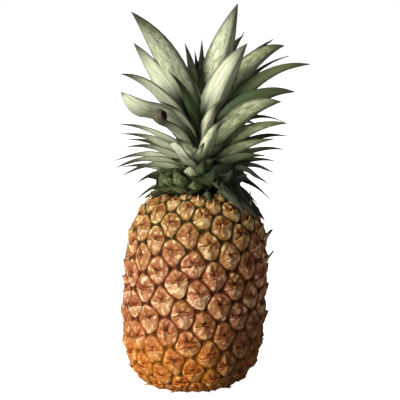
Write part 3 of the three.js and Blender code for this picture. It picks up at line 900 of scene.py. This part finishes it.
stem_outline = [(0, SEAT_Z + GAP), (STEM_RADIUS, SEAT_Z + GAP), (STEM_NECK[0], SEAT_Z + STEM_NECK[1]),
                (STEM_TIP[0], SEAT_Z + STEM_TIP[1]), (0, SEAT_Z + STEM_TIP[1])]
crown_stem = new_piece(spun("crown_stem", stem_outline, 24), "crown_leaf", "crown")
print("crown_stem:", len(crown_stem.data.polygons), "faces")

# %% [markdown]
# ## The cut stalk
#
# Underneath is the end of the stalk that the fruit grew on, cut straight across. It is woody, with a ridged
# dry rind and a fibrous face. It is spun too, and then each line of its side is drawn in by its own little.

# %% The stalk
RIDGES = 48
RIDGE_DEPTH = 0.05  # at most, as a share of the radius

stalk_outline = [(0, 0), (STALK_RADIUS - 4, 0), (STALK_RADIUS - 1.5, 0), (STALK_RADIUS, 1.5),
                 (STALK_RADIUS, 7), (STALK_RADIUS, STALK_HEIGHT), (0, STALK_HEIGHT)]
stalk_mesh = spun("cut_stalk", stalk_outline, RIDGES)
new_piece(stalk_mesh, "cut_stalk", "stalk")
for vert in stalk_mesh.vertices:
    x, y, z = vert.co / MM
    x -= LEAN * z
    if math.hypot(x, y) > STALK_RADIUS - 3:
        shrink = 1 - RIDGE_DEPTH * chance(round(math.atan2(y, x) * RIDGES / math.tau), 61)
        vert.co = beside_axis(x * shrink, y * shrink, z)
print("cut_stalk:", len(stalk_mesh.polygons), "faces")

# %% [markdown]
# ## Helpers for materials
#
# A node material can be wired by hand in the editor, and the same graph written out in code is long. A few
# small helpers keep it readable: one makes a node and fills or links its inputs, one lays colours over each
# other, and one turns a range of values into a mask. A socket knows its own tree, so few of them need to be
# told it. Colours are given as on a screen, from 0 to 255.

# %% Node helpers
def paint(red, green, blue):
    """A screen colour, 0 to 255, as the linear values that a shader works with."""
    linear = [((c / 255 + 0.055) / 1.055) ** 2.4 if c > 10 else c / 255 / 12.92 for c in (red, green, blue)]
    return (*linear, 1)


def add(tree, kind, inputs=None, **settings):
    """A new node with its settings made and its inputs filled or linked."""
    node = with_settings(tree.nodes.new("ShaderNode" + kind), **settings)
    for socket, value in (inputs or {}).items():
        if isinstance(value, bpy.types.NodeSocket):
            tree.links.new(value, node.inputs[socket])
        else:
            node.inputs[socket].default_value = value
    return node


def mix(share, first, second):
    """second over first by a share. Each is a socket or a screen colour."""
    tree = next(value.id_data for value in (share, first, second) if isinstance(value, bpy.types.NodeSocket))
    first, second = (paint(*colour) if isinstance(colour, tuple) else colour for colour in (first, second))
    return add(tree, "Mix", {0: share, 6: first, 7: second}, data_type="RGBA").outputs[2]


def layered(colour, *layers):
    """Colours laid over one another, each by its own share."""
    for share, over in layers:
        colour = mix(share, colour, over)
    return colour


def mask(value, low, high, top=1.0):
    """0 below low, top above high and smooth between."""
    inputs = {0: value, 1: low, 2: high, 3: 0.0, 4: top}
    return add(value.id_data, "MapRange", inputs, interpolation_type="SMOOTHSTEP").outputs[0]


def product(*values):
    """A socket multiplied by others or by plain numbers."""
    result = values[0]
    for value in values[1:]:
        result = add(result.id_data, "Math", {0: result, 1: value}, operation="MULTIPLY").outputs[0]
    return result


print("cream in linear values:", [round(c, 3) for c in paint(246, 215, 168)])

# %% Materials and what they read
def values_of(tree, *names):
    """What the mesh remembers under these names for its points and faces."""
    return [add(tree, "Attribute", attribute_name=name).outputs["Fac"] for name in names]


def new_material(name, roughness, specular=0.5):
    """A material with its Principled BSDF, ready for its colours."""
    material = bpy.data.materials.new(name)
    material.use_nodes = True
    shader = material.node_tree.nodes["Principled BSDF"]
    shader.inputs["Roughness"].default_value = roughness
    shader.inputs["Specular IOR Level"].default_value = specular
    return material, material.node_tree, shader


def dress(mesh, *materials):
    """Gives a mesh its materials, one slot after another."""
    for material in materials:
        mesh.materials.append(material)
    print(mesh.name, "is finished with", [material.name for material in materials])


def wire_up(shader, colour, height, strength, depth):
    """Gives a shader its colour, and fine relief that is so many millimetres deep."""
    tree = shader.id_data
    tree.links.new(colour, shader.inputs["Base Color"])
    bump = add(tree, "Bump", {"Height": height, "Strength": strength, "Distance": depth * MM})
    tree.links.new(bump.outputs[0], shader.inputs["Normal"])


print("the skin remembers", [kept.name for kept in skin.attributes if not kept.name.startswith(".")])

# %% [markdown]
# ## Two effects that several finishes share
#
# Plant skin is streaked along its fibres and mottled across them, whether it is leaf, scale or stalk. Both
# effects are node groups: built once, with named inputs, and placed in each material with its own values. A
# picture could hold such detail too, but a group stays sharp at any distance.

# %% The groups for fibres and mottling
def new_group(name, numbers, outputs):
    """An empty group that takes a vector and some numbers, with its first and last node."""
    group = bpy.data.node_groups.new(name, "ShaderNodeTree")
    group.interface.new_socket("Vector", in_out="INPUT", socket_type="NodeSocketVector")
    for label, value in numbers.items():
        group.interface.new_socket(label, in_out="INPUT", socket_type="NodeSocketFloat").default_value = value
    for label in outputs:
        group.interface.new_socket(label, in_out="OUTPUT", socket_type="NodeSocketFloat")
    return group, group.nodes.new("NodeGroupInput").outputs, group.nodes.new("NodeGroupOutput").inputs


def noise_mask(vector, scale, low, high):
    inputs = {"Vector": vector, "Scale": scale, "Detail": 3.0, "Roughness": 0.6}
    return mask(add(vector.id_data, "TexNoise", inputs).outputs["Fac"], low, high)


def fibres_group():
    """Streaks and finer lines that run along the second coordinate of a vector."""
    group, given, made = new_group("fibres", {"Across": 10.0, "Along": 0.6}, ["Streak", "Line"])
    parts = add(group, "SeparateXYZ", {0: given["Vector"]}).outputs
    for label, finer, low, high in (("Streak", 1.0, 0.35, 0.7), ("Line", 3.1, 0.42, 0.62)):
        across = product(parts["X"], given["Across"], finer)
        along = product(parts["Y"], given["Along"])
        place = add(group, "CombineXYZ", {0: across, 1: along, 2: parts["Z"]})
        group.links.new(noise_mask(place.outputs[0], 1.0, low, high), made[label])
    return group


def mottle_group():
    """Soft blotches and fine specks."""
    group, given, made = new_group("mottle", {"Scale": 100.0}, ["Blotch", "Speck"])
    for label, finer, low, high in (("Blotch", 1.0, 0.38, 0.66), ("Speck", 5.0, 0.55, 0.72)):
        scale = product(given["Scale"], finer)
        group.links.new(noise_mask(given["Vector"], scale, low, high), made[label])
    return group


fibres, mottle = fibres_group(), mottle_group()


def streaked(tree, across, along):
    """Fibres along a piece's own UV map, so many across and along each unit of it."""
    place = add(tree, "TexCoord").outputs["UV"]
    return add(tree, "Group", {"Vector": place, "Across": across, "Along": along}, node_tree=fibres).outputs


def mottled(tree, scale):
    """Blotches and specks by the place on the fruit, so many to each metre."""
    place = add(tree, "TexCoord").outputs["Object"]
    return add(tree, "Group", {"Vector": place, "Scale": scale}, node_tree=mottle).outputs


print("groups:", fibres.name, mottle.name)

# %% [markdown]
# ## The skin's finish
#
# The sepals are tan and peach, streaked from the rim to the pit, with painted highlights on their raised
# parts.
# Creases, pit and grooves are darker, red-brown on most of the fruit and olive under the crown, where it is a
# little unripe and also painted with the crown's shade, while the foot is the ripest and turns orange.
# Creases and grooves carry painted shade besides their own brown, and so do the corners between eyes and the
# hollows of the wrinkles. Low on the right the skin is darker and duller. The masks for groove, crease and
# pit come with the mesh, from the relief formula, and height comes from the Object coordinates.

# %% The skin's material
def ramp(tree, axis, low, high):
    """A mask that goes from 0 at one place on an axis to 1 at another, in millimetres."""
    place = add(tree, "SeparateXYZ", {0: add(tree, "TexCoord").outputs["Object"]})
    return mask(place.outputs[axis], low * MM, high * MM)


def darker_low_right(spots):
    """A mask for the darker, duller patch low on the fruit's right."""
    tree = spots.id_data
    return product(ramp(tree, "X", 8, 38), ramp(tree, "Z", 100, 30), mix(0.4, (255, 255, 255), spots), 0.8)


def skin_material():
    material, tree, shader = new_material("fruit_skin", 0.5, specular=0.15)
    broad, patches, spots = (mottled(tree, scale) for scale in (50.0, 310.0, 120.0))
    streaks = streaked(tree, 9.0, 2.0)
    unripe, orange = ramp(tree, "Z", 100, 148), ramp(tree, "Z", 72, 28)
    draw, middle, raised, fold = values_of(tree, "draw", "middle", "raised", "fold")
    crease, groove, corner, pit = values_of(tree, "crease", "groove", "corner", "pit")

    cream = mix(unripe, (254, 214, 166), (240, 226, 160))
    painted_ridge_highlight = mix(orange, cream, (252, 190, 110))
    painted_hollow_shade = mix(orange, (140, 68, 24), (176, 82, 16))
    crease_brown_and_shade = mix(orange, (78, 34, 12), (110, 50, 12))
    bottom = mix(orange, mix(unripe, (126, 54, 14), (86, 70, 16)), (178, 104, 22))
    deepest = mix(orange, mix(unripe, (56, 30, 8), (40, 36, 10)), (100, 56, 12))
    colour = layered(
        mix(broad["Blotch"], (224, 154, 124), (212, 168, 92)),
        (mask(draw, 0.4, 0.9, 0.6), (172, 120, 90)),
        # olive under the crown: a little unripe, and darkened as painted shade from the crown
        (product(unripe, 0.8), (188, 156, 82)),
        (product(orange, 0.85), (240, 154, 32)),
        (product(patches["Blotch"], 0.85), (140, 76, 34)),
        (product(middle, 0.5), (170, 112, 60)),
        (product(streaks["Streak"], 0.5), (128, 66, 32)),
        (product(spots["Speck"], 0.6), (244, 196, 160)),
        # painted shade round the creases and in the hollows of the wrinkles
        (mask(fold, 0.2, 0.9, 0.65), painted_hollow_shade),
        (mask(raised, 0.0, -0.9, 0.65), painted_hollow_shade),
        # painted highlight on the raised parts of the wrinkles
        (mask(raised, 0.05, 0.6, 0.85), painted_ridge_highlight),
        # the creases' own brown, darkened further as painted shade
        (mask(crease, 0.3, 0.8, 0.9), crease_brown_and_shade),
        # the grooves' own red-brown, with painted shade up their walls
        (mask(groove, 0.1, 0.7, 0.9), bottom),
        # painted shade where three eyes meet
        (product(mask(groove, 0.1, 0.6), mask(corner, 0.1, 0.8, 0.85)), deepest),
        (mask(pit, 0.4, 0.8), (56, 26, 8)),
        # darker and duller low on the right
        (darker_low_right(broad["Blotch"]), (70, 44, 40)),
    )
    dull = add(tree, "MapRange", {0: groove, 1: 0.0, 2: 0.5, 3: 0.5, 4: 0.95})
    tree.links.new(dull.outputs[0], shader.inputs["Roughness"])
    wire_up(shader, colour, streaks["Line"], 0.35, 0.4)
    return material


dress(skin, skin_material())

# %% [markdown]
# ## The scales' finish
#
# The scales are the palest thing on the fruit: cream, with fibres that run up to the point, greenish under
# the crown and tanned at the foot. Their folds and the line beside the keel are painted in shade, and their
# raised parts with highlights. The points have dried brown, the few long ones nearly black, and just under
# the crown they are pale.

# %% The scales' material
def scale_material():
    material, tree, shader = new_material("dry_scale", 0.55, specular=0.15)
    patches, streaks = mottled(tree, 240.0), streaked(tree, 7.0, 1.2)
    unripe, orange = ramp(tree, "Z", 98, 148), ramp(tree, "Z", 72, 18)
    draw, raised, point = values_of(tree, "draw", "raised", "point")
    flat = add(tree, "SeparateXYZ", {0: add(tree, "TexCoord").outputs["UV"]}).outputs
    side = add(tree, "Math", {0: flat["X"]}, operation="ABSOLUTE").outputs[0]
    # painted shade: a dark line beside the keel, where the scale folds
    painted_keel_shade = product(mask(side, 0.09, 0.02), mask(draw, 0.2, 0.5), 0.8)
    colour = layered(
        mix(mask(draw, 0.15, 0.7), (240, 198, 152), (196, 136, 96)),
        # greenish under the crown: a little unripe, and darkened as painted shade from the crown
        (product(unripe, 0.65), (206, 188, 114)),
        (product(orange, 0.85), (242, 158, 54)),
        (product(patches["Blotch"], 0.75), (164, 98, 52)),
        # painted shade in the scale's folds
        (mask(raised, 0.0, -0.5, 0.8), (134, 72, 34)),
        # painted highlight on its raised parts
        (mask(raised, 0.1, 0.5, 0.8), mix(orange, (255, 232, 200), (254, 196, 120))),
        (product(streaks["Streak"], 0.55), (150, 92, 50)),
        (mask(flat["Y"], 0.4, 0.0, 0.9), (134, 70, 30)),
        (painted_keel_shade, (96, 48, 20)),
        (mask(point, 0.25, 0.8), mix(unripe, (110, 60, 26), (224, 180, 136))),
        (mask(point, 0.9, 1.4), (52, 46, 26)),
        (darker_low_right(patches["Blotch"]), (74, 50, 46)),
    )
    wire_up(shader, colour, streaks["Line"], 0.3, 0.3)
    return material


dress(scales, scale_material())

# %% [markdown]
# ## The leaves' two finishes
#
# The underside of a leaf is covered with tiny silvery scales in fine lines along the blade, so it looks pale
# grey-green. The upper side is smooth and deep green. Both have brown margins and dry to brown at the tip,
# and both are painted darker towards the root, as shade where the leaves crowd, and on leaves that stand in
# shade.
# At the crown's foot they have painted light in pale mottling on the left and painted deep shade on the
# right.
# One function makes both, with its own colours for each side.

# %% The leaves' materials
def leaf_material(name, green, line, root, roughness, bloom=None):
    """Green with finer and coarser lines along the blade, under a silver bloom where one is given."""
    material, tree, shader = new_material(name, roughness, specular=0.3)
    lines, spots, fine = streaked(tree, 6.5, 0.3), mottled(tree, 280.0), mottled(tree, 460.0)
    draw, along, edge, silver = values_of(tree, "draw", "along", "edge", "silver")
    colour = mix(product(lines["Streak"], 0.8), green, line)
    colour = mix(product(draw, 0.4), colour, (120, 108, 56))
    if bloom:
        bands = streaked(tree, 4.5, 1.2)["Streak"]
        worn = product(mix(0.3, bands, spots["Blotch"]), 0.85)
        left = add(tree, "Math", {0: silver, 1: worn}, operation="SUBTRACT").outputs[0]
        left = product(mask(left, -0.4, 0.4), mask(along, 0.05, 0.4))
        dusted = mix(product(lines["Line"], 0.5), bloom, line)
        colour = layered(colour, (product(lines["Line"], 0.35), bloom), (left, dusted))
    # painted light with mottling: the small lit leaflets at the crown's foot are pale green
    foot = product(ramp(tree, "Z", 198, 182), ramp(tree, "X", 26, 8),
                   mask(silver, 0.5, 0.4), ramp(tree, "X", -30, -20))
    # painted shade over the right of the crown's foot
    shaded = product(ramp(tree, "Z", 206, 180), ramp(tree, "X", 14, 34), 0.7)
    dark = mix(product(lines["Streak"], 0.5), root, line)
    colour = layered(
        colour,
        (product(spots["Speck"], 0.4), (70, 58, 38)),
        (foot, mix(fine["Blotch"], line, (168, 192, 134))),
        (mask(edge, 0.74, 1.0, 0.8), (78, 66, 40)),
        # painted shade: leaves with silver below 0 are painted dark
        (mask(silver, 0.02, -0.6, 0.9), dark),
        # painted shade: darker towards the root, where the leaves crowd
        (mask(along, 0.55, 0.15, 0.95), dark),
        (mask(along, 0.66, 0.97, 0.9), (60, 50, 30)),
        (shaded, mix(lines["Streak"], (18, 32, 28), (72, 84, 64))),
    )
    wire_up(shader, colour, lines["Line"], 0.5, 0.5)
    return material


# the fourth colour of each is the painted shade, towards the root and on leaves that stand in shade
leaf_underside = leaf_material(
    "leaf_underside", (132, 154, 86), (84, 102, 56), (48, 66, 38), 0.5, bloom=(240, 246, 212))
leaf_upper = leaf_material("leaf_upper", (92, 114, 64), (58, 80, 46), (42, 60, 34), 0.4)
dress(crown_leaves.data, leaf_underside, leaf_upper)
dress(crown_stem.data, leaf_upper)

# %% [markdown]
# ## The stalk's finish
#
# Dry wood: pale straw, blotched with brown, and dotted where the fibres end.

# %% The stalk's material
def stalk_material():
    material, tree, shader = new_material("dry_stalk", 0.8)
    spots = mottled(tree, 420.0)
    colour = mix(spots["Blotch"], (190, 160, 112), (142, 108, 66))
    colour = mix(product(spots["Speck"], 0.8), colour, (84, 56, 30))
    wire_up(shader, colour, spots["Speck"], 0.5, 0.5)
    return material


dress(stalk_mesh, stalk_material())

# %% [markdown]
# ## Floor, light and camera
#
# A plain white studio: a pale floor, a sun from the upper left that lights all of it alike, a soft lamp low
# on the left, and a faint one opposite, so the right side of the fruit falls into brown shade. The camera
# stands well back, a little above the fruit's middle.

# %% The floor
def studio_floor():
    bm = bmesh.new()
    bmesh.ops.create_circle(bm, segments=64, radius=12, cap_ends=True)
    floor = bpy.data.objects.new("floor", new_mesh(bm, "floor"))
    bpy.context.scene.collection.objects.link(floor)
    material, tree, shader = new_material("floor", 0.9)
    shader.inputs["Emission Color"].default_value = (1, 1, 1, 1)
    seen = add(tree, "LightPath").outputs["Is Camera Ray"]
    tree.links.new(mix(seen, (180, 180, 178), (245, 245, 243)), shader.inputs["Base Color"])
    tree.links.new(product(seen, 0.95), shader.inputs["Emission Strength"])
    dress(floor.data, material)


studio_floor()

# %% Lights
AIM = Vector((7.4, 0, 156)) * MM  # the middle of what the camera sees


def aimed(item, place):
    """Puts a lamp or a camera in its place, turned towards the fruit."""
    item.location = place
    item.rotation_euler = (AIM - place).to_track_quat("-Z", "Y").to_euler()
    bpy.context.scene.collection.objects.link(item)


def lamp(name, kind, place, **settings):
    light = with_settings(bpy.data.lights.new(name, kind), **settings)
    aimed(bpy.data.objects.new(name, light), Vector(place))


warm, less_warm = (1.0, 0.97, 0.92), (1.0, 0.98, 0.94)
lamp("key", "SUN", (-1.3, -0.98, 0.66), energy=4.1, color=warm, angle=math.radians(24))
lamp("side", "AREA", (-1.3, -0.7, 0.12), energy=5.0, color=less_warm, shape="DISK", size=1.0)
lamp("fill", "AREA", (1.3, -1.4, 0.6), energy=1.8, color=warm, shape="DISK", size=1.2)

world = with_settings(bpy.data.worlds.new("studio"), use_nodes=True)
bpy.context.scene.world = world
sky = world.node_tree
backdrop = sky.nodes["Background"]
backdrop.inputs["Color"].default_value = (1, 1, 1, 1)
glow = add(sky, "MapRange", {0: add(sky, "LightPath").outputs["Is Camera Ray"], 3: 0.14, 4: 1.0})
sky.links.new(glow.outputs[0], backdrop.inputs["Strength"])
bpy.context.scene.view_settings.view_transform = "Standard"

# %% The camera
CAMERA_DISTANCE = 1300
CAMERA_ELEVATION = math.radians(6)
VIEW_WIDTH = 328  # what the camera sees at the fruit's middle, in millimetres
SENSOR_WIDTH = 36

lens = SENSOR_WIDTH * CAMERA_DISTANCE / VIEW_WIDTH
camera_data = with_settings(bpy.data.cameras.new("camera"), sensor_width=SENSOR_WIDTH, lens=lens, clip_end=50)
camera = bpy.data.objects.new("camera", camera_data)
back = Vector((0, -math.cos(CAMERA_ELEVATION), math.sin(CAMERA_ELEVATION)))
aimed(camera, AIM + back * CAMERA_DISTANCE * MM)
bpy.context.scene.camera = camera
print("lens:", round(lens, 1), "mm")
